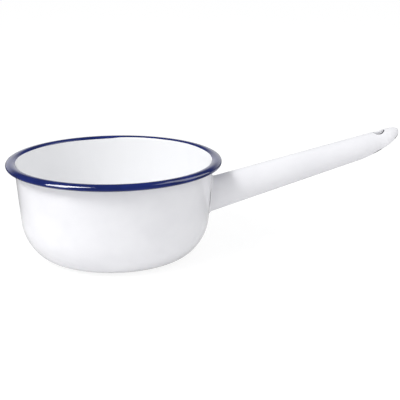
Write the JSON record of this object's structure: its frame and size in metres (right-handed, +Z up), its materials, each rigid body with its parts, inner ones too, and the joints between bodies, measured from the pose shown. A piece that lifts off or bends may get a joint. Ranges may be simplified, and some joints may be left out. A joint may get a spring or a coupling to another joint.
{
  "type": "milk pan",
  "caption": "Small round enamelled steel milk pan: deep bowl with rounded base corner and blue rolled rim, one long tapered hollow handle with a scooped tip and a hanging hole.",
  "frame": {"origin": "centre of the flat underside of the bowl's base", "axes": "+Z up along the bowl's axis, +X along the handle towards its tip, +Y across the handle"},
  "size_m": [0.285, 0.155, 0.0899],
  "materials": {
    "sheet_steel": "pressed low-carbon sheet, hidden under the coats",
    "weld_steel": "weld metal, hidden under the coats",
    "white_enamel": "glossy fired white glass enamel",
    "blue_enamel": "glossy fired blue glass enamel",
    "ground_coat": "dark bare ground coat on cut edges"
  },
  "bodies": {
    "root": {"bowl_steel": "sheet_steel", "bowl_inner_enamel": "white_enamel", "bowl_outer_enamel": "white_enamel", "rim_enamel": "blue_enamel", "handle_steel": "sheet_steel", "handle_seam_weld": "weld_steel", "handle_outer_enamel": "white_enamel", "handle_lining_enamel": "white_enamel", "root_weld": "weld_steel", "root_enamel": "white_enamel", "tip_edge_coat": "ground_coat", "hole_edge_coat": "ground_coat"}
  },
  "joints": []
}
